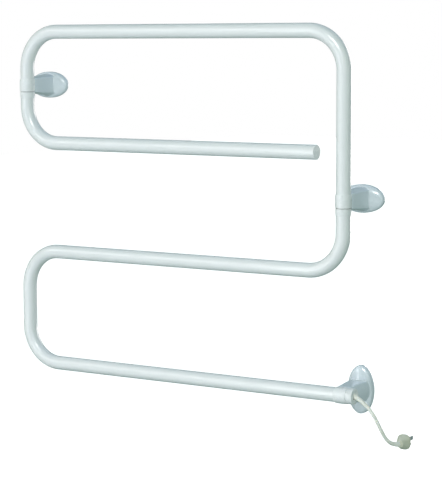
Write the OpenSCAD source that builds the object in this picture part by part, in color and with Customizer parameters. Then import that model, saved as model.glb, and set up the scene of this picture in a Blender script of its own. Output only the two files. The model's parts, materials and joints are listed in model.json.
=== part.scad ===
// Wall-mounted electric towel warmer: one serpentine of coated tube with four
// bars, three domed wall brackets, a heating cable inside and a moulded cord.
// Millimetres. +Z is up, the wall is the plane Y = 0 and the rack stands off it
// towards -Y. The origin is the middle of the left bracket's foot on the wall.

/* [Tube frame] */
// Outer diameter of the tube
tube_od = 25.4; // [24:0.1:26.4]
// Wall thickness of the tube
tube_wall = 1.5; // [1:0.1:2]
// Distance between the axes of the left and right uprights
frame_w = 668; // [500:1:900]
// Drop from the top bar to the second bar
drop_1 = 203; // [180:1:260]
// Drop from the second bar to the third bar
drop_2 = 200; // [180:1:260]
// Drop from the third bar to the fourth bar
drop_3 = 208; // [180:1:260]
// Bend radius of the tube's axis
bend_r = 67; // [55:1:80]
// Distance from the wall to the tube's axis
wall_gap = 70; // [66:1:84]
// How far the second bar stops short of the right upright
free_end_inset = 51; // [30:1:200]
// How far the fourth bar's end face lies past the right upright's axis
cord_end_reach = 24; // [24:1:40]

/* [Brackets] */
// Height of the top bar above the left bracket
left_bracket_drop = 98; // [90:1:110]
// Drop from the top bar to the right bracket
right_bracket_drop = 283; // [240:1:300]
// Length of the oval foot, across the tube
foot_l = 84; // [80:1:96]
// Width of the oval foot, along the tube
foot_w = 48.4; // [48:0.2:60]
// Height of the foot's dome off the wall
foot_h = 17; // [16:0.5:22]
// Length of the collar along the tube
collar_l = 23; // [22:0.1:25]
// Outer diameter of the collar at its fullest
collar_od = 28.6; // [28.4:0.1:31]
// Spacing of the two wall screws in each wall plate
wall_screw_pitch = 44; // [40:1:48]
// Diameter of the wall screw holes
wall_screw_hole = 5.2; // [4.5:0.1:5.6]

/* [Cord and plug] */
// Diameter of the cord
cord_d = 6.2; // [5.6:0.1:7.4]
// Depth of the moulded plug body, from its face to its tip
plug_h = 20; // [18:1:24]

/* [Heating parts] */
// Diameter of the heating cable
heat_d = 5; // [4:0.1:6]

/* [Hidden] */
$fn = 48;

gap = 0.3;                       // clearance between neighbouring pieces
fit = 0.1;                       // clearance between pieces pushed together
over = 1;                        // how far a cut runs past the face that it opens
lap = 0.5;                       // overlap of two shapes that make one piece
cut_block = 120;                 // side of a block that cuts a collar in two
tube_id = tube_od - 2 * tube_wall;
axis_y = -wall_gap;

// Heights of the four bars and of the right bracket
top_z = left_bracket_drop;
bar2_z = top_z - drop_1;
bar3_z = bar2_z - drop_2;
bar4_z = bar3_z - drop_3;
right_z = top_z - right_bracket_drop;
free_end_x = frame_w - free_end_inset;
cord_end_x = frame_w + cord_end_reach;
bend_left = bend_r;
bend_right = frame_w - bend_r;

// Collar, liner and trim rings
liner_t = 0.4;
collar_bore = tube_od + 2 * liner_t + 0.2;
collar_end_od = tube_od + 2.2;
ring_od = tube_od + 1.6;
ring_l = cord_end_reach - collar_l / 2 - gap;
split_y = axis_y + 5;            // where the front collar meets the arm's collar
liner_inset = 0.5;
liner_slit = 1;
spigot_l = 50;
spigot_t = 1.2;

// Domed foot
foot_sides = 40;
rim_h = 6;

// Bracket arm: an oval cut flat on two sides at its foot, a rounded square at the collar
arm_foot_l = 36;
arm_oval_l = 51.4;
arm_oval_w = 44;
arm_foot_y = 8;
arm_tip_l = 26.4;
arm_tip_w = 25.2;
arm_tip_y = wall_gap - 4;
arm_edge_r = 1.6;
slice_t = 0.1;

// Wall plate, its post, and the room for them under the dome
plate_t = 2.5;
plate_l = 60;
plate_w = 22;
plate_corner = 5;
post_w = 15;
post_h = 30;
pocket_h = 8.5;
pocket_gap = 1;

// Fasteners
screw_d = 3;
screw_hole = screw_d + 0.4;
screw_head_d = 5.6;
screw_head_h = 2;
screw_tip_r = 8.6;
screw_seat_r = 19;
screw_z = 6.2;
driver_d = 6.4;
set_screw_d = 4;
set_screw_y = -25;
set_screw_l = 7;
set_socket_d = 2.2;
set_socket_depth = 2;

// End caps and the way out for the cord
cap_face_t = 3;
cap_spigot_l = 14;
cap_spigot_t = 2;
relief_root_r = 4.5;
relief_tip_r = cord_d / 2 + 0.3;
relief_flange_r = 8.5;
relief_flange_t = 2;
relief_hole_r = 5.4;

// Where the cord leaves the end cap, and the root of its strain relief behind that
cord_start = [cord_end_x, axis_y, bar4_z];
relief_foot = cord_start + [-4, 0, 1.9];

// Plug, its face 6 mm off the wall where an outlet's face stands
plug_pos = cord_start + [61.4, 64, -81];
plug_face_w = 24;
plug_face_h = 26;
plug_tip_r = 6.4;
plug_sides = 32;
plug_tip_drop = 0.6;
blade_l = 17;
blade_h = 6.3;
blade_t = 1.5;
blade_pitch = 12.7;
blade_rise = 4.4;
blade_root = 5;
pin_d = 4.8;
pin_l = 20;
pin_drop = 7.5;

// Route of the cord's axis from there: out of the end cap, down, and into the plug's tip
cord_steps = [
    [0, 0, 0], [5, 0, -2.4], [10, 0, -5.2], [15, 0.2, -8.5],
    [20, 0.5, -12.4], [25.1, 1.1, -17], [30.1, 1.9, -23], [34.8, 3.3, -30.1],
    [38.9, 5.3, -38.3], [42.2, 7.9, -47], [45.1, 11.4, -55.8], [47.4, 15.8, -64.1],
    [49.6, 21.1, -71.2], [52.1, 26.9, -76.4], [54.9, 32.7, -79.7],
    [58.1, 38.5, -81.3], [61.4, 44, -81.6],
];
cord_route = [for (step = cord_steps) cord_start + step];
relief_points = 4;               // route points under each strain relief
cord_sides = 12;

// Heating parts inside the tube, measured along the bars
cable_start_x = free_end_x - 40;
cable_end_x = cord_end_x - 68;
seal_l = 24;
seal_wall = 1.5;
seal_end_t = 6;
splice_l = 29;
splice_d = 4;
splice_pitch = 5.2;
cutout_l = 18;
cutout_d = 5;
cutout_inset = 6;
cutout_lead_l = 5;
cutout_lead_d = 1.2;
potting_l = 32;

// Earth screw through the back of the fourth bar; each _r is a distance from the tube's axis
earth_x = 636;
earth_d = 4;
earth_tip_r = 6;
earth_head_d = 7.4;
earth_head_h = 2.2;
nut_d = 7.6;
nut_h = 2.4;
nut_r = 6.8;
terminal_d = 8;
terminal_t = 0.8;
terminal_r = 9.4;
terminal_tongue = [12, 3];

// ---------------------------------------------------------------- helpers

// Hollow straight tube from the origin along +Z
module pipe(length, outer, inner) {
    linear_extrude(height = length) difference() {
        circle(d = outer);
        circle(d = inner);
    }
}

// A straight length of tube along a bar
module run_x(x0, x1, z, outer, inner) {
    translate([x0, axis_y, z]) rotate([0, 90, 0]) pipe(x1 - x0, outer, inner);
}

// A straight length of tube along an upright
module run_z(x, z0, z1, outer, inner) {
    translate([x, axis_y, z0]) pipe(z1 - z0, outer, inner);
}

// A quarter bend centred at x, z that starts at the angle a, from +X towards +Z
module bend_at(x, z, a, outer, inner) {
    translate([x, axis_y, z]) rotate([90, 0, 0]) rotate_extrude(angle = 90, start = a)
        translate([bend_r, 0]) difference() {
            circle(d = outer);
            circle(d = inner);
        }
}

// The same three for a solid rod
module rod_x(x0, x1, z, d) {
    translate([x0, axis_y, z]) rotate([0, 90, 0]) cylinder(h = x1 - x0, d = d);
}

module rod_z(x, z0, z1, d) {
    translate([x, axis_y, z0]) cylinder(h = z1 - z0, d = d);
}

module rod_bend(x, z, a, d) {
    translate([x, axis_y, z]) rotate([90, 0, 0]) rotate_extrude(angle = 90, start = a)
        translate([bend_r, 0]) circle(d = d);
}

// A closed skin over equal rings of points, each ring given in order round it
module loft(rings) {
    n = len(rings[0]);
    m = len(rings);
    polyhedron(
        points = [for (ring = rings) each ring],
        faces = concat(
            [[for (i = [0:n - 1]) i]],
            [for (k = [0:m - 2], i = [0:n - 1])
                [k * n + i, (k + 1) * n + i, (k + 1) * n + (i + 1) % n]],
            [for (k = [0:m - 2], i = [0:n - 1])
                [k * n + i, (k + 1) * n + (i + 1) % n, k * n + (i + 1) % n]],
            [[for (i = [n - 1:-1:0]) (m - 1) * n + i]]
        ),
        convexity = 6
    );
}

function unit(v) = v / norm(v);

// Direction of the cord at its point i
function cord_way(i) =
    unit(cord_route[min(i + 1, len(cord_route) - 1)] - cord_route[max(i - 1, 0)]);

// Ring of radius r round the point p, square to the direction way
function ring_at(p, way, r) = let(
    side = unit(cross(way, [1, 0, 1])),
    up = cross(side, way)
) [for (k = [0:cord_sides - 1]) let(a = -k * 360 / cord_sides)
    p + r * (cos(a) * side + sin(a) * up)];

// Rings along the cord's points i0 to i1, the radius going from r0 to r1
function cord_rings(i0, i1, r0, r1) = [
    for (i = [i0:i1])
        ring_at(cord_route[i], cord_way(i), r0 + (r1 - r0) * (i - i0) / (i1 - i0))
];

// ---------------------------------------------------------------- places

// A bracket is drawn with the tube along Z at Y = -wall_gap, its foot's long
// axis along X and the wall at Y = 0. These put a piece at its three places.
module at_left() {
    children();
}

module at_right() {
    translate([frame_w, 0, right_z]) children();
}

module at_lower() {
    translate([frame_w, 0, bar4_z]) rotate([0, 90, 0]) children();
}

// The two holes of a bracket's tube screws, from the tube's axis towards the wall
module tube_screw_holes() {
    for (z = [-screw_z, screw_z]) translate([0, axis_y, z])
        rotate([-90, 0, 0]) cylinder(h = screw_seat_r + over, d = screw_hole);
}

// ---------------------------------------------------------------- tubes

module free_bar_tube() {
    color("whitesmoke") difference() {
        union() {
            run_x(bend_left, free_end_x - cap_face_t, bar2_z, tube_od, tube_id);
            bend_at(bend_left, bar2_z + bend_r, 180, tube_od, tube_id);
            run_z(0, bar2_z + bend_r, -gap / 2, tube_od, tube_id);
        }
        at_left() tube_screw_holes();
    }
}

module top_loop_tube() {
    color("whitesmoke") difference() {
        union() {
            run_z(0, gap / 2, top_z - bend_r, tube_od, tube_id);
            bend_at(bend_left, top_z - bend_r, 90, tube_od, tube_id);
            run_x(bend_left, bend_right, top_z, tube_od, tube_id);
            bend_at(bend_right, top_z - bend_r, 0, tube_od, tube_id);
            run_z(frame_w, right_z + gap / 2, top_z - bend_r, tube_od, tube_id);
        }
        at_left() tube_screw_holes();
        at_right() tube_screw_holes();
    }
}

module lower_loop_tube() {
    color("whitesmoke") difference() {
        union() {
            run_z(frame_w, bar3_z + bend_r, right_z - gap / 2, tube_od, tube_id);
            bend_at(bend_right, bar3_z + bend_r, 270, tube_od, tube_id);
            run_x(bend_left, bend_right, bar3_z, tube_od, tube_id);
            bend_at(bend_left, bar3_z - bend_r, 90, tube_od, tube_id);
            run_z(0, bar4_z + bend_r, bar3_z - bend_r, tube_od, tube_id);
            bend_at(bend_left, bar4_z + bend_r, 180, tube_od, tube_id);
            run_x(bend_left, cord_end_x - cap_face_t - gap, bar4_z, tube_od, tube_id);
        }
        at_right() tube_screw_holes();
        at_lower() tube_screw_holes();
        earth_hole();
    }
}

// Plug-in cap that closes the second bar
module free_end_cap() {
    color("white") translate([free_end_x, axis_y, bar2_z]) rotate([0, 90, 0]) union() {
        translate([0, 0, -cap_face_t]) cylinder(h = cap_face_t, d = tube_od);
        translate([0, 0, -cap_face_t - cap_spigot_l])
            pipe(cap_spigot_l + lap, tube_id - fit, tube_id - 2 * cap_spigot_t);
    }
}

// Cap over the end of the fourth bar, with the hole that the cord leaves by
module cord_end_cap() {
    color("white") translate([cord_end_x - ring_l, axis_y, bar4_z]) rotate([0, 90, 0])
        difference() {
            cylinder(h = ring_l, d = ring_od);
            translate([0, 0, -over])
                cylinder(h = ring_l - cap_face_t + over, d = tube_od + 2 * fit);
            translate([0, 0, -over]) cylinder(h = ring_l + 2 * over, r = relief_hole_r);
        }
}

// ---------------------------------------------------------------- seams

// Trim ring over the tube just below a collar
module seam_ring() {
    color("white") translate([0, axis_y, -collar_l / 2 - gap - ring_l])
        pipe(ring_l, ring_od, tube_od + fit);
}

// Inner sleeve that joins two lengths of tube inside a collar
module seam_spigot() {
    color("silver") difference() {
        translate([0, axis_y, -spigot_l / 2])
            pipe(spigot_l, tube_id - 2 * fit, tube_id - 2 * (fit + spigot_t));
        tube_screw_holes();
    }
}

// ---------------------------------------------------------------- brackets

// One ring of the domed foot: its ellipse shrunk by k, at the height h off the wall
function foot_ring(k, h) = [
    for (i = [0:foot_sides - 1]) let(a = i * 360 / foot_sides)
        [k * foot_l / 2 * cos(a), -h, k * foot_w / 2 * sin(a)]
];

// Height of the dome where the ellipse is shrunk by k
function dome_h(k) = rim_h + (foot_h - rim_h) * sqrt(1 - k * k);

// Domed oval foot as a solid
module foot_dome() {
    loft([
        foot_ring(1, 0),
        foot_ring(1, rim_h),
        for (k = [0.99, 0.96, 0.9, 0.81, 0.68, 0.5, 0.2]) foot_ring(k, dome_h(k)),
    ]);
}

// A thin slab with rounded corners, l by w, at the height h off the wall
module arm_slice(l, w, h) {
    translate([0, -h, 0]) rotate([90, 0, 0]) linear_extrude(height = slice_t)
        offset(r = arm_edge_r, $fn = 24)
            square([l - 2 * arm_edge_r, w - 2 * arm_edge_r], center = true);
}

// The arm's foot: an oval, cut flat on the two sides that face across the tube
module arm_root() {
    translate([0, -arm_foot_y, 0]) rotate([90, 0, 0]) linear_extrude(height = slice_t)
        intersection() {
            scale([arm_oval_l / arm_oval_w, 1]) circle(d = arm_oval_w);
            square([arm_foot_l, arm_oval_w], center = true);
        }
}

// Flared arm from inside the dome to the back of the tube
module arm() {
    hull() {
        arm_root();
        arm_slice(arm_tip_l, arm_tip_w, arm_tip_y);
    }
}

// Radius of the barrel-shaped collar at the share t of its half length
function barrel_r(t) = collar_od / 2 - (collar_od - collar_end_od) / 2 * t * t;

// Barrel-shaped collar round the tube, as a solid
module collar_barrel() {
    translate([0, axis_y, 0]) rotate_extrude() polygon([
        [0, -collar_l / 2],
        for (t = [-1:0.25:1]) [barrel_r(t), t * collar_l / 2],
        [0, collar_l / 2],
    ]);
}

// The bore of a collar, for the tube and its liner
module collar_hole() {
    translate([0, axis_y, -collar_l]) cylinder(h = 2 * collar_l, d = collar_bore);
}

// Body: domed foot, arm and the rear part of the collar
module bracket_body() {
    color("lightsteelblue") difference() {
        union() {
            foot_dome();
            arm();
            collar_barrel();
        }
        translate([-cut_block / 2, split_y - cut_block, -cut_block / 2]) cube(cut_block);
        collar_hole();
        plate_block(plate_l + 2 * pocket_gap, plate_w + 2 * pocket_gap, pocket_h);
        post_block(post_w + 2 * pocket_gap, post_h + pocket_gap);
        for (z = [-screw_z, screw_z]) translate([0, 0, z]) {
            rotate([90, 0, 0]) cylinder(h = wall_gap - screw_seat_r, d = driver_d);
            rotate([90, 0, 0]) cylinder(h = wall_gap, d = screw_hole);
        }
        translate([0, set_screw_y, -cut_block / 2])
            cylinder(h = cut_block / 2, d = set_screw_d + 2 * fit);
    }
}

// Front of the collar, which snaps over the tube
module collar_cap() {
    color("whitesmoke") difference() {
        collar_barrel();
        translate([-cut_block / 2, split_y - gap, -cut_block / 2]) cube(cut_block);
        collar_hole();
    }
}

// Split heat-resistant sleeve between a collar and the tube
module liner() {
    color("dimgray") difference() {
        translate([0, axis_y, -collar_l / 2 + liner_inset])
            pipe(collar_l - 2 * liner_inset, collar_bore - fit, tube_od + fit);
        tube_screw_holes();
        translate([-liner_slit / 2, axis_y - collar_od, -collar_l])
            cube([liner_slit, collar_od, 2 * collar_l]);
    }
}

// Block with cut corners, from the wall to the height h
module plate_block(l, w, h) {
    x = l / 2;
    z = w / 2;
    c = plate_corner;
    rotate([90, 0, 0]) linear_extrude(height = h) polygon([
        [-x + c, -z], [x - c, -z], [x, -z + c], [x, z - c],
        [x - c, z], [-x + c, z], [-x, z - c], [-x, -z + c],
    ]);
}

module post_block(w, h) {
    rotate([90, 0, 0]) linear_extrude(height = h) square([w, w], center = true);
}

// Steel plate screwed to the wall, with the post that the arm slides over
module wall_plate() {
    color("silver") difference() {
        union() {
            plate_block(plate_l, plate_w, plate_t);
            post_block(post_w, post_h);
        }
        for (x = [-1, 1]) translate([x * wall_screw_pitch / 2, over, 0])
            rotate([90, 0, 0]) cylinder(h = plate_t + 2 * over, d = wall_screw_hole);
    }
}

// Set screw in the side of the arm, its tip on the post
module set_screw() {
    color("dimgray") translate([0, set_screw_y, -post_w / 2 - set_screw_l])
        difference() {
            cylinder(h = set_screw_l, d = set_screw_d);
            translate([0, 0, -over])
                cylinder(h = set_socket_depth + over, d = set_socket_d, $fn = 6);
        }
}

// Screw from inside the arm into the tube, its head on the saddle
module tube_screw() {
    color("silver") translate([0, axis_y, 0]) rotate([-90, 0, 0]) union() {
        translate([0, 0, screw_tip_r])
            cylinder(h = screw_seat_r - screw_tip_r + lap, d = screw_d);
        translate([0, 0, screw_seat_r]) cylinder(h = screw_head_h, d = screw_head_d);
    }
}

module set_screws() {
    at_left() set_screw();
    at_right() set_screw();
    at_lower() set_screw();
}

module tube_screws() {
    for (z = [-screw_z, screw_z]) {
        at_left() translate([0, 0, z]) tube_screw();
        at_right() translate([0, 0, z]) tube_screw();
        at_lower() translate([0, 0, z]) tube_screw();
    }
}

// ---------------------------------------------------------------- heating

// Heating cable along the tube's axis, from the free end to the cord end
module heating_cable() {
    color("firebrick") union() {
        rod_x(bend_left, cable_start_x, bar2_z, heat_d);
        rod_bend(bend_left, bar2_z + bend_r, 180, heat_d);
        rod_z(0, bar2_z + bend_r, top_z - bend_r, heat_d);
        rod_bend(bend_left, top_z - bend_r, 90, heat_d);
        rod_x(bend_left, bend_right, top_z, heat_d);
        rod_bend(bend_right, top_z - bend_r, 0, heat_d);
        rod_z(frame_w, bar3_z + bend_r, top_z - bend_r, heat_d);
        rod_bend(bend_right, bar3_z + bend_r, 270, heat_d);
        rod_x(bend_left, bend_right, bar3_z, heat_d);
        rod_bend(bend_left, bar3_z - bend_r, 90, heat_d);
        rod_z(0, bar4_z + bend_r, bar3_z - bend_r, heat_d);
        rod_bend(bend_left, bar4_z + bend_r, 180, heat_d);
        rod_x(bend_left, cable_end_x, bar4_z, heat_d);
    }
}

// Closed silicone cap on the cable's far end
module cable_end_seal() {
    color("orangered") translate([cable_start_x - seal_l + seal_end_t, axis_y, bar2_z])
        rotate([0, 90, 0]) difference() {
            cylinder(h = seal_l, d = heat_d + 2 * seal_wall);
            translate([0, 0, -over])
                cylinder(h = seal_l - seal_end_t + over, d = heat_d + fit);
        }
}

// Crimped joints between the cable's cold tails and the cord's cores
module cable_splices() {
    color("goldenrod") for (y = [-1, 1])
        translate([cable_end_x + gap, axis_y + y * splice_pitch / 2, bar4_z]) rotate([0, 90, 0])
            cylinder(h = splice_l, d = splice_d);
}

// Thermal cut-out strapped to the cable
module thermal_cutout() {
    x = cable_end_x - cutout_l - cutout_inset;
    z = bar4_z + (heat_d + cutout_d) / 2 + gap;
    color("silver") translate([x, axis_y, z]) rotate([0, 90, 0]) union() {
        cylinder(h = cutout_l, d = cutout_d);
        translate([0, 0, -cutout_lead_l])
            cylinder(h = cutout_l + 2 * cutout_lead_l, d = cutout_lead_d);
    }
}

// Resin plug that seals the tube behind the end cap and holds the cord's jacket
module end_potting() {
    flange_x = cord_end_x - cap_face_t - gap - relief_flange_t;
    color("darkslategray") difference() {
        translate([flange_x - gap - potting_l, axis_y, bar4_z])
            rotate([0, 90, 0]) cylinder(h = potting_l, d = tube_id - fit);
        at_lower() tube_screw_holes();
    }
}

// Hole through the back of the fourth bar for the earth screw
module earth_hole() {
    translate([earth_x, axis_y, bar4_z]) rotate([-90, 0, 0])
        cylinder(h = tube_od, d = earth_d + gap);
}

// Earth screw, its head on the back of the tube
module earth_screw() {
    color("goldenrod") translate([earth_x, axis_y, bar4_z]) rotate([-90, 0, 0]) union() {
        translate([0, 0, earth_tip_r])
            cylinder(h = tube_od / 2 + lap - earth_tip_r, d = earth_d);
        translate([0, 0, tube_od / 2 + fit]) cylinder(h = earth_head_h, d = earth_head_d);
    }
}

module earth_nut() {
    color("goldenrod") translate([earth_x, axis_y, bar4_z]) rotate([-90, 0, 0])
        translate([0, 0, nut_r]) difference() {
            cylinder(h = nut_h, d = nut_d, $fn = 6);
            translate([0, 0, -over]) cylinder(h = nut_h + 2 * over, d = earth_d + fit);
        }
}

// Ring terminal between the nut and the tube's inner wall
module earth_terminal() {
    color("silver") translate([earth_x, axis_y, bar4_z]) rotate([-90, 0, 0])
        translate([0, 0, terminal_r]) difference() {
            union() {
                cylinder(h = terminal_t, d = terminal_d);
                translate([terminal_d / 2 - over, -terminal_tongue.y / 2, 0])
                    cube([terminal_tongue.x, terminal_tongue.y, terminal_t]);
            }
            translate([0, 0, -over])
                cylinder(h = terminal_t + 2 * over, d = earth_d + 2 * fit);
        }
}

// ---------------------------------------------------------------- cord

module power_cord() {
    last = len(cord_route) - 1;
    color("ivory") loft(cord_rings(relief_points, last - relief_points, cord_d / 2, cord_d / 2));
}

// Tapered boot with a flange that sits behind the end cap's face
module cord_strain_relief() {
    color("ivory") union() {
        translate([cord_end_x - cap_face_t - gap - relief_flange_t, axis_y, bar4_z])
            rotate([0, 90, 0]) cylinder(h = relief_flange_t, r = relief_flange_r);
        loft([
            ring_at(relief_foot, cord_way(0), relief_root_r),
            each cord_rings(0, relief_points, relief_root_r, relief_tip_r),
        ]);
    }
}

module plug_strain_relief() {
    last = len(cord_route) - 1;
    color("ivory") loft(cord_rings(last - relief_points, last, relief_tip_r, relief_root_r));
}

// One ring of the plug: a rounded outline w by h, the height y off its face
function plug_ring(w, h, y, drop) = [
    for (i = [0:plug_sides - 1]) let(a = -i * 360 / plug_sides)
        plug_pos + [w / 2 * cos(a), -y, h / 2 * sin(a) - drop]
];

// Moulded plug body, tapering to the tip that the cord enters
module plug_body() {
    color("ivory") difference() {
        loft([
            plug_ring(plug_face_w - 2, plug_face_h - 2, 0, 0),
            plug_ring(plug_face_w, plug_face_h, 1, 0),
            plug_ring(plug_face_w, plug_face_h, 4.5, 0),
            plug_ring(plug_face_w * 0.9, plug_face_h * 0.92, 7.5, 0.1),
            plug_ring(plug_face_w * 0.74, plug_face_h * 0.78, 12, 0.3),
            plug_ring(2.3 * plug_tip_r, 2.4 * plug_tip_r, 16, 0.5),
            plug_ring(2 * plug_tip_r, 2 * plug_tip_r, plug_h, plug_tip_drop),
        ]);
        blades();
        earth_pin();
        plug_strain_relief();
    }
}

// Two flat blades, part of each inside the body
module blades() {
    for (x = [-1, 1]) translate(plug_pos + [x * blade_pitch / 2, 0, blade_rise])
        translate([-blade_t / 2, -blade_root, -blade_h / 2])
            cube([blade_t, blade_root + blade_l, blade_h]);
}

// Round earth pin below the blades
module earth_pin() {
    translate(plug_pos + [0, -blade_root, -pin_drop]) rotate([-90, 0, 0])
        cylinder(h = blade_root + pin_l, d = pin_d);
}

module plug_blades() {
    color("silver") blades();
}

module plug_earth_pin() {
    color("silver") earth_pin();
}

// ---------------------------------------------------------------- assembly

free_bar_tube();
top_loop_tube();
lower_loop_tube();
free_end_cap();
cord_end_cap();
at_left() seam_ring();  // seam_ring_left
at_right() seam_ring();  // seam_ring_right
at_left() seam_spigot();  // seam_spigot_left
at_right() seam_spigot();  // seam_spigot_right
at_left() bracket_body();  // bracket_left
at_right() bracket_body();  // bracket_right
at_lower() bracket_body();  // bracket_lower
at_left() collar_cap();  // collar_cap_left
at_right() collar_cap();  // collar_cap_right
at_lower() collar_cap();  // collar_cap_lower
at_left() liner();  // liner_left
at_right() liner();  // liner_right
at_lower() liner();  // liner_lower
at_left() wall_plate();  // wall_plate_left
at_right() wall_plate();  // wall_plate_right
at_lower() wall_plate();  // wall_plate_lower
set_screws();
tube_screws();
heating_cable();
cable_end_seal();
cable_splices();
thermal_cutout();
end_potting();
earth_screw();
earth_nut();
earth_terminal();
power_cord();
cord_strain_relief();
plug_body();
plug_strain_relief();
plug_blades();
plug_earth_pin();
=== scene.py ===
import json
import math

import bmesh
import bpy
from mathutils import Matrix, Vector


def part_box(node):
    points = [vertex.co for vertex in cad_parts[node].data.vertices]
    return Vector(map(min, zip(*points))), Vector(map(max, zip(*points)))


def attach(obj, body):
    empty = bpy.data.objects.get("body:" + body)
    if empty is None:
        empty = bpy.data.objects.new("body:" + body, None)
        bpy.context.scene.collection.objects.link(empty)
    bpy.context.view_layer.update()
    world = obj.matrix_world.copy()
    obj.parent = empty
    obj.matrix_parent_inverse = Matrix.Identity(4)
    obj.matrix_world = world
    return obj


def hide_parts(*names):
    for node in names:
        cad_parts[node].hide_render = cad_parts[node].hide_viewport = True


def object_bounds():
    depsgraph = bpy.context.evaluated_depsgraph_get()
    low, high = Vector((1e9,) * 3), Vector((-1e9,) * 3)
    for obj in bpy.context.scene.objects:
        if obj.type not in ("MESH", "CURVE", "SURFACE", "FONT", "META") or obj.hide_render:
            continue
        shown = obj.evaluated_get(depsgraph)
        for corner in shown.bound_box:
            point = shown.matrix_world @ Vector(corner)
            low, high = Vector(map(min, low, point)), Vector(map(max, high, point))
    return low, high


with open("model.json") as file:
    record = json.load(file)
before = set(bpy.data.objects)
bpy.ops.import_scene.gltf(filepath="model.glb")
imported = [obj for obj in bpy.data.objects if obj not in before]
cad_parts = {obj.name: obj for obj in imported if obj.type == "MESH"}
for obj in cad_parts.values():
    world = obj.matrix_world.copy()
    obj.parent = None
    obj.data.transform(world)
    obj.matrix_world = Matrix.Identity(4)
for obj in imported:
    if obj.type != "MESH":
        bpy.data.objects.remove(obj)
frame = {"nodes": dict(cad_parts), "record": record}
NODES = frame["nodes"]
CAD_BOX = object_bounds()
MM = 0.001


# ------------------------------------------------------------ places, from the CAD

def middle(node):
    """Middle of a CAD node's box."""
    lo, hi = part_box(node)
    return (lo + hi) / 2


cap_lo, cap_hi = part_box("free_end_cap")
TUBE_R = (cap_hi.z - cap_lo.z) / 2
AXIS_Y = middle("free_end_cap").y
BAR2_Z = middle("free_end_cap").z
FREE_END_X = cap_hi.x
FRAME_W = middle("bracket_right").x
RIGHT_Z = middle("bracket_right").z
BAR4_Z = middle("bracket_lower").z
TOP_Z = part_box("top_loop_tube")[1].z - TUBE_R
BAR3_Z = max(
    v.co.z for v in NODES["lower_loop_tube"].data.vertices if v.co.x < FRAME_W / 2
) - TUBE_R
CORD_END_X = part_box("cord_end_cap")[1].x
RING_R = (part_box("seam_ring_left")[1].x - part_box("seam_ring_left")[0].x) / 2
COLLAR_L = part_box("collar_cap_left")[1].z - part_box("collar_cap_left")[0].z
COLLAR_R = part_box("collar_cap_left")[1].x

# Measures that no node's box gives, the same as in part.scad
TUBE_WALL = 1.5 * MM
BEND_R = 67 * MM
COLLAR_END_R = TUBE_R + 1.1 * MM
CORD_R = 3.1 * MM

PLACES = {
    "left": Matrix.Identity(4),
    "right": Matrix.Translation((FRAME_W, 0, RIGHT_Z)),
    "lower": Matrix.Translation((FRAME_W, 0, BAR4_Z)) @ Matrix.Rotation(math.pi / 2, 4, "Y"),
}

# Route of the cord's axis, as in part.scad: steps from the end cap into the plug
CORD_START = Vector((CORD_END_X, AXIS_Y, BAR4_Z))
CORD_ROUTE = [CORD_START + Vector(step) * MM for step in (
    (0, 0, 0), (5, 0, -2.4), (10, 0, -5.2), (15, 0.2, -8.5),
    (20, 0.5, -12.4), (25.1, 1.1, -17), (30.1, 1.9, -23), (34.8, 3.3, -30.1),
    (38.9, 5.3, -38.3), (42.2, 7.9, -47), (45.1, 11.4, -55.8), (47.4, 15.8, -64.1),
    (49.6, 21.1, -71.2), (52.1, 26.9, -76.4), (54.9, 32.7, -79.7),
    (58.1, 38.5, -81.3), (61.4, 44, -81.6),
)]
RELIEF_POINTS = 4                # route points under each strain relief, after its first
BOOT_TIP_R = CORD_R + 0.3 * MM


# ------------------------------------------------------------ mesh helpers

def add_object(name, verts, faces, sharp_deg=35):
    """A mesh object, smooth but for its edges sharper than the angle."""
    mesh = bpy.data.meshes.new(name)
    mesh.from_pydata([tuple(v) for v in verts], [], faces)
    bm = bmesh.new()
    bm.from_mesh(mesh)
    bmesh.ops.remove_doubles(bm, verts=bm.verts, dist=1e-6)
    bmesh.ops.recalc_face_normals(bm, faces=bm.faces)
    limit = math.radians(sharp_deg)
    for face in bm.faces:
        face.smooth = True
    for edge in bm.edges:
        edge.smooth = len(edge.link_faces) == 2 and edge.calc_face_angle() < limit
    bm.to_mesh(mesh)
    bm.free()
    obj = bpy.data.objects.new(name, mesh)
    bpy.context.scene.collection.objects.link(obj)
    return obj


def loft(name, rings, closed=False, sharp_deg=35):
    """A skin over equal rings; its two ends are capped unless the rings close on themselves."""
    n, m = len(rings[0]), len(rings)
    verts = [p for ring in rings for p in ring]
    faces = []
    for k in range(m if closed else m - 1):
        a, b = k * n, (k + 1) % m * n
        for i in range(n):
            j = (i + 1) % n
            faces.append((a + i, a + j, b + j, b + i))
    if not closed:
        faces.append(tuple(range(n - 1, -1, -1)))
        faces.append(tuple((m - 1) * n + i for i in range(n)))
    return add_object(name, verts, faces, sharp_deg)


def lathe(name, profile, origin, axis, sides=64, sharp_deg=35):
    """Turns a closed outline of (radius, along) about an axis."""
    axis = Vector(axis).normalized()
    turn = Vector((0, 0, 1)).rotation_difference(axis)
    rings = []
    for r, h in profile:
        rings.append([
            Vector(origin) + turn @ Vector((
                r * math.cos(2 * math.pi * i / sides), r * math.sin(2 * math.pi * i / sides), h
            )) for i in range(sides)
        ])
    return loft(name, rings, closed=True, sharp_deg=sharp_deg)


def corner_arc(before, corner, after, radius, steps, most=1.0):
    """Points of the arc that rounds a corner, using at most that share of its two sides."""
    a, b = before - corner, after - corner
    half = a.angle(b) / 2
    cut = min(radius / math.tan(half), most * a.length, most * b.length)
    a, b = a.normalized(), b.normalized()
    centre = corner + (a + b).normalized() * (cut / math.cos(half))
    p0, p1 = corner + a * cut - centre, corner + b * cut - centre
    total = p0.angle(p1)
    turns = [total * k / steps for k in range(steps + 1)]
    return [centre + (p0 * math.sin(total - t) + p1 * math.sin(t)) / math.sin(total)
            for t in turns]


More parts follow.
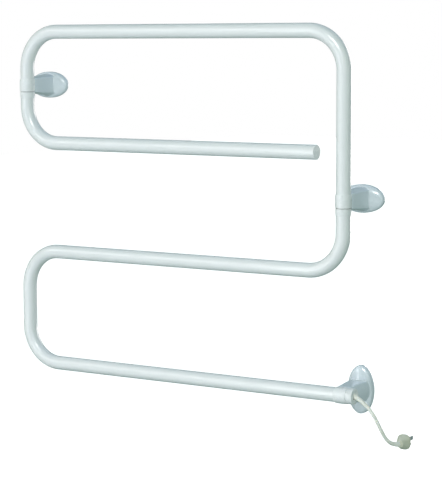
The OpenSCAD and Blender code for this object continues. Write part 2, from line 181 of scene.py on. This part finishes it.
def rounded(corners, radii, steps=5):
    """A closed 2-D outline with its corners turned into arcs; a radius of 0 keeps one sharp."""
    points = [Vector(p) for p in corners]
    out = []
    for i, corner in enumerate(points):
        if radii[i] > 0:
            after = points[(i + 1) % len(points)]
            out += corner_arc(points[i - 1], corner, after, radii[i], steps, most=0.49)
        else:
            out.append(corner)
    return [tuple(p) for p in out]


def smooth_line(points, per_span):
    """A Catmull-Rom line through the points."""
    pts = [points[0] * 2 - points[1], *points, points[-1] * 2 - points[-2]]
    out = []
    for i in range(1, len(pts) - 2):
        p0, p1, p2, p3 = pts[i - 1:i + 3]
        for k in range(per_span):
            t = k / per_span
            out.append(0.5 * (
                2 * p1 + (p2 - p0) * t + (2 * p0 - 5 * p1 + 4 * p2 - p3) * t ** 2
                + (3 * p1 - p0 - 3 * p2 + p3) * t ** 3
            ))
    return out + [points[-1]]


def sweep_rings(path, radii, sides):
    """Round rings along a path, carried along without twist."""
    ways = [(path[min(i + 1, len(path) - 1)] - path[max(i - 1, 0)]).normalized()
            for i in range(len(path))]
    side = ways[0].orthogonal().normalized()
    rings = []
    for i, p in enumerate(path):
        if i:
            side = (ways[i - 1].rotation_difference(ways[i]) @ side).normalized()
        up = ways[i].cross(side)
        rings.append([
            p + radii[i] * (math.cos(a) * side + math.sin(a) * up)
            for a in (2 * math.pi * k / sides for k in range(sides))
        ])
    return rings


# ------------------------------------------------------------ materials

class Shader:
    """A Principled material whose colour, roughness and relief come from noise."""

    def __init__(self, name, rough, metallic=0.0, coat=0.0, ior=1.5, sss=0.0):
        self.mat = bpy.data.materials.new(name)
        self.mat.use_nodes = True
        self.tree = self.mat.node_tree
        self.tree.nodes.clear()
        out = self.node("ShaderNodeOutputMaterial")
        self.bsdf = self.node("ShaderNodeBsdfPrincipled")
        self.link(self.bsdf.outputs["BSDF"], out.inputs["Surface"])
        self.bsdf.inputs["Metallic"].default_value = metallic
        self.bsdf.inputs["Roughness"].default_value = rough
        self.bsdf.inputs["Coat Weight"].default_value = coat
        self.bsdf.inputs["Coat Roughness"].default_value = 0.08
        self.bsdf.inputs["IOR"].default_value = ior
        if sss:
            self.bsdf.inputs["Subsurface Weight"].default_value = sss
            self.bsdf.inputs["Subsurface Radius"].default_value = (1.0, 0.9, 0.7)
            self.bsdf.inputs["Subsurface Scale"].default_value = 0.002
        self.coords = self.node("ShaderNodeTexCoord").outputs["Object"]
        self.height = None

    def node(self, kind):
        return self.tree.nodes.new(kind)

    def link(self, a, b):
        self.tree.links.new(a, b)

    def noise(self, size, detail=3.0, stretch=(1, 1, 1), distortion=0.0):
        """Noise whose blobs are about size metres across."""
        mapping = self.node("ShaderNodeMapping")
        mapping.inputs["Scale"].default_value = stretch
        self.link(self.coords, mapping.inputs["Vector"])
        tex = self.node("ShaderNodeTexNoise")
        tex.inputs["Scale"].default_value = 1 / size
        tex.inputs["Detail"].default_value = detail
        tex.inputs["Distortion"].default_value = distortion
        self.link(mapping.outputs["Vector"], tex.inputs["Vector"])
        return tex.outputs["Fac"]

    def remap(self, value, lo, hi, to_lo=0.0, to_hi=1.0):
        node = self.node("ShaderNodeMapRange")
        node.inputs["From Min"].default_value = lo
        node.inputs["From Max"].default_value = hi
        node.inputs["To Min"].default_value = to_lo
        node.inputs["To Max"].default_value = to_hi
        self.link(value, node.inputs["Value"])
        return node.outputs["Result"]

    def math(self, op, a, b):
        node = self.node("ShaderNodeMath")
        node.operation = op
        for i, v in enumerate((a, b)):
            if hasattr(v, "is_linked"):
                self.link(v, node.inputs[i])
            else:
                node.inputs[i].default_value = v
        return node.outputs[0]

    def mix(self, fac, a, b):
        node = self.node("ShaderNodeMix")
        node.data_type = "RGBA"
        self.link(fac, node.inputs["Factor"])
        for name, v in (("A", a), ("B", b)):
            socket = [s for s in node.inputs if s.name == name and s.type == "RGBA"][0]
            if hasattr(v, "is_linked"):
                self.link(v, socket)
            else:
                socket.default_value = (*v, 1)
        return [s for s in node.outputs if s.type == "RGBA"][0]

    def colour(self, value):
        self.link(value, self.bsdf.inputs["Base Color"])

    def roughness(self, value):
        self.link(value, self.bsdf.inputs["Roughness"])

    def relief(self, value, depth):
        """Adds a bump whose full range is about depth metres high."""
        bump = self.node("ShaderNodeBump")
        bump.inputs["Distance"].default_value = depth
        bump.inputs["Strength"].default_value = 1.0
        self.link(value, bump.inputs["Height"])
        if self.height is not None:
            self.link(self.height, bump.inputs["Normal"])
        self.height = bump.outputs["Normal"]
        self.link(self.height, self.bsdf.inputs["Normal"])

    def edges(self):
        """Grows from 0 to 1 towards convex edges."""
        geometry = self.node("ShaderNodeNewGeometry")
        return self.remap(geometry.outputs["Pointiness"], 0.52, 0.6)


def coated_metal(name, base, shade):
    """Powder coat: faint orange peel, cloudy tone, rubbed patches."""
    s = Shader(name, 0.24, coat=0.4)
    cloud = s.remap(s.noise(0.06, 3), 0.35, 0.65)
    fleck = s.remap(s.noise(0.0022, 2), 0.66, 0.74)
    tone = s.mix(cloud, base, shade)
    s.colour(s.mix(s.math("MULTIPLY", fleck, 0.12), tone, tuple(0.9 * c for c in shade)))
    s.roughness(s.remap(s.noise(0.035, 4, distortion=0.6), 0.3, 0.7, 0.21, 0.27))
    s.relief(s.noise(0.0016, 2), 0.000008)
    s.relief(s.noise(0.03, 1), 0.00001)
    return s.mat


def moulded(name, base, shade, rough=(0.22, 0.34), coat=0.2):
    """Moulded plastic: fine grain, slow tone change, brighter rubbed edges."""
    s = Shader(name, rough[0], coat=coat)
    cloud = s.remap(s.noise(0.03, 3), 0.35, 0.65)
    tone = s.mix(cloud, base, shade)
    worn = s.math("MULTIPLY", s.edges(), s.remap(s.noise(0.008, 3), 0.35, 0.6))
    s.colour(s.mix(s.math("MULTIPLY", worn, 0.5), tone, tuple(min(1, 1.08 * c) for c in base)))
    s.roughness(s.remap(s.noise(0.012, 4), 0.3, 0.7, *rough))
    s.relief(s.noise(0.0007, 2), 0.000012)
    s.relief(s.noise(0.012, 1), 0.00004)
    return s.mat


def vinyl(name, base, shade):
    """Soft vinyl: a little light passes into it, with dull patches and a fine grain."""
    s = Shader(name, 0.36, sss=0.12, ior=1.46)
    cloud = s.remap(s.noise(0.012, 3), 0.35, 0.65)
    grime = s.remap(s.noise(0.004, 4, distortion=0.8), 0.6, 0.75)
    tone = s.mix(cloud, base, shade)
    s.colour(s.mix(s.math("MULTIPLY", grime, 0.25), tone, tuple(0.78 * c for c in shade)))
    s.roughness(s.remap(s.noise(0.006, 3), 0.3, 0.7, 0.36, 0.52))
    s.relief(s.noise(0.0008, 3), 0.00002)
    return s.mat


def metal(name, base, shade, rough, stretch=(1, 1, 1)):
    """Plated or bare metal: fine drawn lines, and stains of a warmer tone."""
    s = Shader(name, rough, metallic=1.0)
    lines = s.noise(0.0006, 3, stretch)
    tone = s.mix(s.remap(lines, 0.3, 0.7), base, shade)
    stained = s.remap(s.noise(0.006, 4, distortion=1.0), 0.58, 0.75)
    tarnish = tuple(c * dim for c, dim in zip(shade, (0.8, 0.76, 0.7)))
    s.colour(s.mix(s.math("MULTIPLY", stained, 0.35), tone, tarnish))
    s.roughness(s.remap(lines, 0.25, 0.75, rough * 0.8, rough * 1.3))
    s.relief(lines, 0.000008)
    return s.mat


def rubber(name, base, shade, rough=0.6):
    """Matt rubber or silicone with dust in its grain."""
    s = Shader(name, rough, ior=1.42)
    dust = s.remap(s.noise(0.003, 4), 0.5, 0.75)
    s.colour(s.mix(dust, base, shade))
    s.roughness(s.remap(s.noise(0.002, 3), 0.3, 0.7, rough * 0.85, rough * 1.15))
    s.relief(s.noise(0.0006, 3), 0.00003)
    return s.mat


MATERIALS = {
    "coated_tube": coated_metal("coated_tube_look", (0.80, 0.84, 0.835), (0.79, 0.832, 0.827)),
    "cap_plastic": moulded("cap_plastic_look", (0.80, 0.84, 0.835), (0.78, 0.822, 0.817)),
    "bracket_plastic": moulded("bracket_plastic_look", (0.715, 0.797, 0.838), (0.70, 0.782, 0.828),
                               rough=(0.18, 0.25), coat=0.5),
    "cord_vinyl": vinyl("cord_vinyl_look", (0.85, 0.87, 0.80), (0.80, 0.82, 0.735)),
    "plug_vinyl": vinyl("plug_vinyl_look", (0.68, 0.70, 0.565), (0.625, 0.647, 0.51)),
    "spigot_steel": metal("spigot_steel_look", (0.58, 0.59, 0.61), (0.48, 0.49, 0.51), 0.34,
                          stretch=(1, 1, 0.05)),
    "liner_rubber": rubber("liner_rubber_look", (0.035, 0.035, 0.04), (0.09, 0.09, 0.09)),
    "plate_steel": metal("plate_steel_look", (0.62, 0.63, 0.66), (0.52, 0.53, 0.55), 0.36,
                         stretch=(0.06, 1, 1)),
    "screw_black": metal("screw_black_look", (0.06, 0.06, 0.07), (0.035, 0.035, 0.04), 0.4),
    "screw_steel": metal("screw_steel_look", (0.66, 0.67, 0.69), (0.55, 0.56, 0.58), 0.3),
    "cable_jacket": rubber("cable_jacket_look", (0.42, 0.05, 0.03), (0.50, 0.10, 0.07), 0.5),
    "seal_silicone": rubber("seal_silicone_look", (0.60, 0.16, 0.06), (0.66, 0.24, 0.12), 0.5),
    "contact_brass": metal("contact_brass_look", (0.80, 0.62, 0.33), (0.66, 0.49, 0.24), 0.28,
                           stretch=(1, 0.08, 1)),
    "tinned_metal": metal("tinned_metal_look", (0.72, 0.73, 0.74), (0.62, 0.63, 0.64), 0.35),
    "potting_resin": rubber("potting_resin_look", (0.06, 0.075, 0.075), (0.10, 0.12, 0.12), 0.32),
}
SLOT_OF = {s["node"]: s["material_slot"] for s in frame["record"]["subparts"]}


def stand_for(obj, node):
    """Shows a piece instead of a CAD node, with its slot and look, on the rack's one body."""
    slot = SLOT_OF[node]
    obj.data.materials.append(MATERIALS[slot])
    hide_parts(node)
    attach(obj, "root")
    return obj


# ------------------------------------------------------------ camera and cord

CAMERA_AT = Vector((2.17362, -2.77472, 0.07742))
CAMERA_FORWARD = Vector((-0.53959, 0.83463, -0.11062)).normalized()
CAMERA_RIGHT = Vector((0.83987, 0.54279, -0.00148))
CAMERA_LENS, CAMERA_SENSOR = 134.0, 36.0


def make_camera():
    """The photograph's viewpoint: right of the rack, a little above its middle."""
    forward = CAMERA_FORWARD
    right = (CAMERA_RIGHT - CAMERA_RIGHT.dot(forward) * forward).normalized()
    up = right.cross(forward)
    data = bpy.data.cameras.new("camera")
    data.lens = CAMERA_LENS
    data.sensor_width = CAMERA_SENSOR
    data.clip_start, data.clip_end = 0.1, 60.0
    cam = bpy.data.objects.new("camera", data)
    rotation = Matrix((right, up, -forward)).transposed()
    cam.matrix_world = Matrix.Translation(CAMERA_AT) @ rotation.to_4x4()
    bpy.context.scene.collection.objects.link(cam)
    bpy.context.scene.camera = cam


def boot(name, points, root_r):
    """Tapered strain relief along part of the cord, a lip round the cord at its thin end."""
    line = smooth_line(points, 8)
    radii = [BOOT_TIP_R + (root_r - BOOT_TIP_R) * (1 - i / (len(line) - 1)) ** 1.6
             for i in range(len(line))]
    radii[-1] -= 0.35 * MM
    return loft(name, sweep_rings(line, radii, 40))


def make_cord():
    """The cord on its route, with its two strain reliefs and its plug."""
    line = smooth_line(CORD_ROUTE, 6)
    cord = loft("cord", sweep_rings(line, [CORD_R] * len(line), 32))
    stand_for(cord, "power_cord")

    near, far = CORD_ROUTE[:RELIEF_POINTS + 1], CORD_ROUTE[:-RELIEF_POINTS - 2:-1]
    behind_cap = near[0] + (near[0] - near[1]).normalized() * 4 * MM
    relief = stand_for(boot("cord_boot", [behind_cap, *near], 4.9 * MM), "cord_strain_relief")
    plug_boot = stand_for(boot("plug_boot", far, 4.5 * MM), "plug_strain_relief")
    plug = make_plug()


# ------------------------------------------------------------ plug

def make_plug():
    """Moulded body: a rounded face block that tapers to the cord's boot."""
    lo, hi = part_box("plug_body")
    x, face_y, depth = (lo.x + hi.x) / 2, hi.y, hi.y - lo.y
    w, h = hi.x - lo.x, hi.z - lo.z
    z = hi.z - h / 2
    tip, tip_drop = 12.8 * MM, z - CORD_ROUTE[-1].z
    sections = [  # share of depth, width, height, roundness power, share of the drop
        (0.00, w - 2.4 * MM, h - 2.4 * MM, 2.6, 0.0),
        (0.02, w - 1.0 * MM, h - 1.0 * MM, 2.7, 0.0),
        (0.06, w, h, 2.8, 0.0),
        (0.20, w, h, 2.8, 0.0),
        (0.25, w * 0.985, h * 0.985, 2.7, 0.0),
        (0.30, w * 0.93, h * 0.94, 2.6, 0.05),
        (0.42, w * 0.86, h * 0.88, 2.4, 0.15),
        (0.60, w * 0.74, h * 0.77, 2.2, 0.4),
        (0.80, w * 0.62, h * 0.62, 2.0, 0.75),
        (0.93, tip * 1.05, tip * 1.05, 2.0, 0.95),
        (0.98, tip * 0.98, tip * 0.98, 2.0, 1.0),
        (1.00, tip * 0.86, tip * 0.86, 2.0, 1.0),
    ]
    sides = 64
    rings = []
    for share, width, height, power, drop in sections:
        ring = []
        for k in range(sides):
            a = 2 * math.pi * k / sides
            c, s = math.cos(a), math.sin(a)
            ring.append(Vector((
                x + width / 2 * math.copysign(abs(c) ** (2 / power), c),
                face_y - share * depth,
                z - drop * tip_drop + height / 2 * math.copysign(abs(s) ** (2 / power), s),
            )))
        rings.append(ring)
    return stand_for(loft("plug", rings), "plug_body")


# ------------------------------------------------------------ tubes

def bent_path(corners, steps=20):
    """Points along straight lengths of tube joined by its bends."""
    path = [corners[0]]
    for before, corner, after in zip(corners, corners[1:], corners[2:]):
        path += corner_arc(before, corner, after, BEND_R, steps)
    return path + [corners[-1]]


def at(x, z):
    """Point in the plane of the tube's axis."""
    return Vector((x, AXIS_Y, z))


def make_tube(name, node, corners):
    """A hollow length of tube, bent at each corner."""
    path = bent_path(corners)
    outer = sweep_rings(path, [TUBE_R] * len(path), 64)
    inner = sweep_rings(path, [TUBE_R - TUBE_WALL] * len(path), 64)
    stand_for(loft(name, outer + inner[::-1], closed=True), node)


def make_tubes():
    """The three lengths, which meet inside the left and right collars."""
    seam = 0.15 * MM
    make_tube("tube_free_bar", "free_bar_tube", [
        at(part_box("free_bar_tube")[1].x, BAR2_Z), at(0, BAR2_Z), at(0, -seam)])
    make_tube("tube_top_loop", "top_loop_tube", [
        at(0, seam), at(0, TOP_Z), at(FRAME_W, TOP_Z), at(FRAME_W, RIGHT_Z + seam)])
    make_tube("tube_lower_loop", "lower_loop_tube", [
        at(FRAME_W, RIGHT_Z - seam), at(FRAME_W, BAR3_Z), at(0, BAR3_Z), at(0, BAR4_Z),
        at(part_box("lower_loop_tube")[1].x, BAR4_Z)])


def make_free_cap():
    """Plain cap of the free bar, flush with the tube."""
    face_t = 3 * MM
    profile = rounded([(0, -face_t), (TUBE_R, -face_t), (TUBE_R, 0), (0, 0)],
                      [0, 0.25 * MM, 1.1 * MM, 0])
    stand_for(lathe("cap_free_end", profile, at(FREE_END_X, BAR2_Z), (1, 0, 0)), "free_end_cap")


def make_cord_cap():
    """Cap over the end of the fourth bar, its hole widening towards the face."""
    inner = TUBE_R + 0.1 * MM
    face_t, hole_r, mouth_r = 3 * MM, 5.2 * MM, 6.6 * MM
    length = CORD_END_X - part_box("cord_end_cap")[0].x
    profile = rounded(
        [(inner, -length), (RING_R, -length), (RING_R, 0), (mouth_r, 0),
         (hole_r, -1.2 * MM), (hole_r, -face_t), (inner, -face_t)],
        [0, 0.35 * MM, 0.9 * MM, 0.5 * MM, 0.5 * MM, 0, 0])
    stand_for(lathe("cap_cord_end", profile, at(CORD_END_X, BAR4_Z), (1, 0, 0)), "cord_end_cap")


def make_trim_ring(place):
    """Ring just below a collar, tapered at its lower end and clear of the collar's groove."""
    lo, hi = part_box("seam_ring_" + place)
    top = hi.z - lo.z - 0.5 * MM
    inner, toe = TUBE_R + 0.05 * MM, TUBE_R + 0.25 * MM
    profile = rounded(
        [(inner, 0), (inner, top), (RING_R, top), (RING_R, 3 * MM), (toe, 0)],
        [0, 0, 0.35 * MM, 2 * MM, 0.15 * MM])
    ring = lathe("trim_ring_" + place, profile, at((lo.x + hi.x) / 2, lo.z), (0, 0, 1))
    stand_for(ring, "seam_ring_" + place)


# ------------------------------------------------------------ brackets

FOOT_A, FOOT_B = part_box("bracket_left")[1].xz
RIM_H = 6 * MM
FOOT_H = 17 * MM
HEEL_R, HEEL_MID = 0.9 * MM, 0.25 * MM  # rounded edge of the foot on the wall
# Shares of the way from the foot's edge to the arm at which the dome has a ring
DOME_SHARES = (0.004, 0.016, 0.04, 0.08, 0.14, 0.22, 0.32, 0.44, 0.58, 0.72, 0.86, 1.0)
# Arm at its foot and at the collar: length, width at its corners, bulge of its long sides
ARM_FOOT = (36 * MM, 31.4 * MM, 6.3 * MM)
ARM_TIP = (26.4 * MM, 25.2 * MM, 0)
SPLIT_BACK = 5 * MM              # the arm ends this far behind the tube's axis
ARM_H = -AXIS_Y - SPLIT_BACK
ARM_EDGE_R = 1.6 * MM
ARM_FILLET = 1.8 * MM            # where the arm meets the dome
ARM_BEVEL = 1.0 * MM             # at the split
ARM_FROM, ARM_TO = 8 * MM, ARM_H + 1 * MM  # heights at which ARM_FOOT and ARM_TIP hold
CORNER_STEPS, FLAT_STEPS = 8, 16
# Pocket over the wall plate, and the hole for the plate's post
POCKET_L, POCKET_W, POCKET_H, POCKET_CUT = 62 * MM, 24 * MM, 8.5 * MM, 5 * MM
HOLE_W, HOLE_H = 17 * MM, 31 * MM
EASE, MOUTH_EASE = 0.4 * MM, 0.3 * MM


def box_outline(l, w, r):
    """Points round a rounded rectangle, in step with those of any other one."""
    arcs = []
    for quarter, (sx, sz) in enumerate(((1, 1), (-1, 1), (-1, -1), (1, -1))):
        cx, cz = sx * (l / 2 - r), sz * (w / 2 - r)
        turns = [(quarter + k / CORNER_STEPS) * math.pi / 2 for k in range(CORNER_STEPS + 1)]
        arcs.append([(cx + r * math.cos(a), cz + r * math.sin(a)) for a in turns])
    points = []
    for arc, following in zip(arcs, arcs[1:] + arcs[:1]):
        (x0, z0), (x1, z1) = arc[-1], following[0]
        flat = [k / FLAT_STEPS for k in range(1, FLAT_STEPS)]
        points += arc + [(x0 + (x1 - x0) * t, z0 + (z1 - z0) * t) for t in flat]
    return points


def ellipse_at(angle, a, b):
    """Point of an ellipse in the direction of the angle."""
    rho = 1 / math.hypot(math.cos(angle) / a, math.sin(angle) / b)
    return rho * math.cos(angle), rho * math.sin(angle)


def dome_height(x, z):
    """Height of the domed foot off the wall."""
    k = min(1.0, math.hypot(x / FOOT_A, z / FOOT_B))
    return RIM_H + (FOOT_H - RIM_H) * math.sqrt(1 - k * k)


def arm_section(h):
    """Length, corner width and bulge of the arm at the height h off the wall."""
    t = (h - ARM_FROM) / (ARM_TO - ARM_FROM)
    return [a + (b - a) * t for a, b in zip(ARM_FOOT, ARM_TIP)]


def arm_outline(h, grow=0.0):
    """Outline of the arm at the height h: flat across the tube, bulging along it."""
    l, w, bulge = arm_section(h)
    l, w = l + 2 * grow, w + 2 * grow
    return [(x, z + math.copysign(bulge * max(0, 1 - (2 * x / l) ** 2), z))
            for x, z in box_outline(l, w, ARM_EDGE_R + max(grow, -ARM_BEVEL))]


def octagon_at(angle, l, w, cut):
    """Point of a rectangle with cut corners in the direction of the angle."""
    c, s = abs(math.cos(angle)), abs(math.sin(angle))
    reach = [l / 2 / max(c, 1e-9), w / 2 / max(s, 1e-9), (l / 2 + w / 2 - cut) / (c + s)]
    rho = min(reach)
    return rho * math.cos(angle), rho * math.sin(angle)


def ring_on(points, height):
    """Ring of 2-D points lifted off the wall, by one height or by a function of the point."""
    return [Vector((x, -(height(x, z) if callable(height) else height), z)) for x, z in points]


def hollow_rings(angles):
    """From the top of the post's hole, out over the pocket's ceiling and down to the wall."""
    def hole(grow):
        return [octagon_at(a, HOLE_W + grow, HOLE_W + grow, 0) for a in angles]

    def pocket(grow):
        return [octagon_at(a, POCKET_L + grow, POCKET_W + grow, POCKET_CUT) for a in angles]

    return [
        ring_on(hole(-EASE), HOLE_H),
        ring_on(hole(0), HOLE_H - EASE),
        ring_on(hole(0), POCKET_H + EASE),
        ring_on(hole(2 * EASE), POCKET_H),
        ring_on(pocket(-2 * EASE), POCKET_H),
        ring_on(pocket(0), POCKET_H - EASE),
        ring_on(pocket(0), MOUTH_EASE),
        ring_on(pocket(2 * MOUTH_EASE), 0),
    ]


def foot_rings(angles, spread):
    """From the foot's edge on the wall, up its rim and over the dome to the outline spread."""
    def foot(inset):
        return [ellipse_at(a, FOOT_A - inset, FOOT_B - inset) for a in angles]

    edge = foot(0)
    rings = [
        ring_on(foot(HEEL_R), 0),
        ring_on(foot(HEEL_MID), HEEL_MID),
        ring_on(edge, HEEL_R),
        ring_on(edge, RIM_H / 2),
        ring_on(edge, RIM_H),
    ]
    for share in DOME_SHARES:
        rings.append(ring_on([
            (e[0] + (s[0] - e[0]) * share, e[1] + (s[1] - e[1]) * share)
            for e, s in zip(edge, spread)
        ], dome_height))
    return rings


def arm_rings(dome):
    """From the last ring of the dome, round the fillet and up the arm to its bevelled end."""
    rings = []
    steps = 6
    for k in range(1, steps + 1):
        a = k / steps * math.pi / 2
        out, rise = ARM_FILLET * (1 - math.sin(a)), ARM_FILLET * (1 - math.cos(a))
        rings.append([Vector((x, below.y - rise, z))
                      for (x, z), below in zip(arm_outline(FOOT_H, out), dome)])
    for share in (0.35, 0.6, 0.85, 1.0):
        h = FOOT_H + (ARM_H - ARM_BEVEL - FOOT_H) * share
        rings.append(ring_on(arm_outline(h), h))
    for inset, drop in ((0.25, 0.6), (0.6, 0.25), (1.0, 0.0)):
        rings.append(ring_on(arm_outline(ARM_H, -inset * ARM_BEVEL), ARM_H - drop * ARM_BEVEL))
    return rings


def bracket_rings():
    """Rings of one bracket body: its hollow, its foot and its arm."""
    angles = [math.atan2(z, x) for x, z in arm_outline(FOOT_H)]
    foot = foot_rings(angles, arm_outline(FOOT_H, ARM_FILLET))
    return hollow_rings(angles) + foot + arm_rings(foot[-1])


def barrel_radius(t):
    """Radius of the collar at t, from -1 at its lower end to 1 at its upper end."""
    return COLLAR_R - (COLLAR_R - COLLAR_END_R) * abs(t) ** 2.2


def make_bracket(place):
    """Bracket body: domed foot and flared arm, hollow over its wall plate."""
    body = loft("bracket_body_" + place, bracket_rings(), sharp_deg=40)
    body.matrix_world = PLACES[place]
    stand_for(body, "bracket_" + place)


def make_collar(place):
    """Front of the collar, from the split on one side of the tube round to the other."""
    steps, turns = 18, 48
    half = COLLAR_L / 2
    inner = TUBE_R + 0.1 * MM
    ease_l, ease_h = 0.5 * MM, 0.35 * MM
    outline = [(inner, -half)]
    for k in range(steps + 1):
        t = -1 + 2 * k / steps
        eased = max(0.0, 1 - (1 - abs(t)) * half / ease_l)
        outline.append((barrel_radius(t) - ease_h * eased, t * half))
    outline.append((inner, half))
    sweep = math.pi / 2 + math.asin(SPLIT_BACK / COLLAR_R)
    rings = []
    for i in range(turns + 1):
        a = -sweep + 2 * sweep * i / turns
        rings.append([Vector((r * math.sin(a), AXIS_Y - r * math.cos(a), z)) for r, z in outline])
    front = loft("collar_front_" + place, rings, sharp_deg=32)
    front.matrix_world = PLACES[place]
    stand_for(front, "collar_cap_" + place)


def make_liner(place):
    """Dark sleeve under the collar, just long enough to show in the groove at one of its ends."""
    inner, outer = TUBE_R + 0.04 * MM, TUBE_R + 0.3 * MM
    half = COLLAR_L / 2
    low, high = -half - 0.7 * MM, half - 0.5 * MM
    if place == "lower":
        low, high = -half + 0.5 * MM, half + 0.2 * MM
    profile = [(inner, low), (outer, low), (outer, high), (inner, high)]
    liner = lathe("liner_sleeve_" + place, profile, (0, AXIS_Y, 0), (0, 0, 1))
    liner.matrix_world = PLACES[place]
    stand_for(liner, "liner_" + place)


# ------------------------------------------------------------ stage

def make_floor():
    """A plain white floor that the camera sees and the rack is not lit by."""
    z = -1.25
    corners = [(-12, -12, z), (12, -12, z), (12, 20, z), (-12, 20, z)]
    floor = add_object("floor", corners, [(0, 1, 2, 3)])
    s = Shader("floor_look", 0.9)
    s.colour(s.mix(s.remap(s.noise(1.5, 2), 0.3, 0.7), (0.93, 0.93, 0.93), (0.95, 0.95, 0.95)))
    s.bsdf.inputs["Emission Color"].default_value = (1, 1, 1, 1)
    s.bsdf.inputs["Emission Strength"].default_value = 0.97
    floor.data.materials.append(s.mat)
    floor.visible_diffuse = False
    floor.visible_glossy = False


def make_world():
    """White to the camera, a dim cool fill to everything else."""
    world = bpy.data.worlds.new("world")
    bpy.context.scene.world = world
    world.use_nodes = True
    tree = world.node_tree
    tree.nodes.clear()
    out = tree.nodes.new("ShaderNodeOutputWorld")
    mix = tree.nodes.new("ShaderNodeMixShader")
    path = tree.nodes.new("ShaderNodeLightPath")
    ambient = tree.nodes.new("ShaderNodeBackground")
    seen = tree.nodes.new("ShaderNodeBackground")
    ambient.inputs["Color"].default_value = (0.73, 1.0, 0.955, 1)
    ambient.inputs["Strength"].default_value = 0.297
    seen.inputs["Color"].default_value = (1, 1, 1, 1)
    seen.inputs["Strength"].default_value = 1.0
    tree.links.new(path.outputs["Is Camera Ray"], mix.inputs["Fac"])
    tree.links.new(ambient.outputs["Background"], mix.inputs[1])
    tree.links.new(seen.outputs["Background"], mix.inputs[2])
    tree.links.new(mix.outputs["Shader"], out.inputs["Surface"])


def area_light(name, place, target, size, watts):
    """Rectangular lamp aimed at the target, its watts given for red, green and blue."""
    power = max(watts)
    data = bpy.data.lights.new(name, "AREA")
    data.shape = "RECTANGLE"
    data.size, data.size_y = size
    data.energy = power
    data.color = [w / power for w in watts]
    lamp = bpy.data.objects.new(name, data)
    way = Vector(target) - Vector(place)
    aim = way.to_track_quat("-Z", "Y").to_matrix().to_4x4()
    lamp.matrix_world = Matrix.Translation(place) @ aim
    bpy.context.scene.collection.objects.link(lamp)
    return lamp


def make_lights():
    """Soft fill lamps that give the shading, and softboxes seen only as reflections."""
    centre = (CAD_BOX[0] + CAD_BOX[1]) / 2
    for name, offset, size, watts, shading, reflection in (
        ("front_left", (-1.6, -2.3, 0.7), (1.4, 1.4), (18.3, 19.0, 24.0), True, False),
        ("left", (-2.5, -1.2, 0.6), (1.4, 1.4), (10.3, 7.0, 2.3), True, False),
        ("camera_side", (1.7, -2.3, 1.2), (1.4, 1.4), (33.5, 32.9, 32.0), True, False),
        ("front_low", (0, -2.6, -0.9), (1.4, 1.4), (25.8, 24.4, 25.4), True, False),
        ("behind", (0.3, 1.2, 1.8), (1.4, 1.4), (3.7, 4.2, 8.7), True, False),
        ("wall_side", (0.4, 2.8, 0.3), (1.8, 1.6), (35.7, 32.0, 31.0), True, True),
        ("bar_glint", (-1.9, -2.5, 1.2), (1.8, 0.5), (12.2, 11.8, 11.8), False, True),
        ("upright_glint", (-1.1, -2.5, -0.2), (0.35, 1.3), (7.5, 7.5, 7.5), False, True),
        ("dome_glint", (0.75, -2.1, 1.75), (1.2, 0.7), (33.8, 33.3, 33.8), False, True),
    ):
        lamp = area_light(name, centre + Vector(offset), centre, size, watts)
        lamp.visible_diffuse = shading
        lamp.visible_glossy = reflection


# ------------------------------------------------------------ build

make_camera()
make_cord()
make_tubes()
make_free_cap()
make_cord_cap()
make_trim_ring("left")
make_trim_ring("right")
for where in PLACES:
    make_bracket(where)
    make_collar(where)
    make_liner(where)
for node_name, node_object in NODES.items():
    if not node_object.hide_render:
        node_object.data.materials.clear()
        node_object.data.materials.append(MATERIALS[SLOT_OF[node_name]])
make_floor()
make_world()
make_lights()
bpy.context.scene.view_settings.view_transform = "Standard"
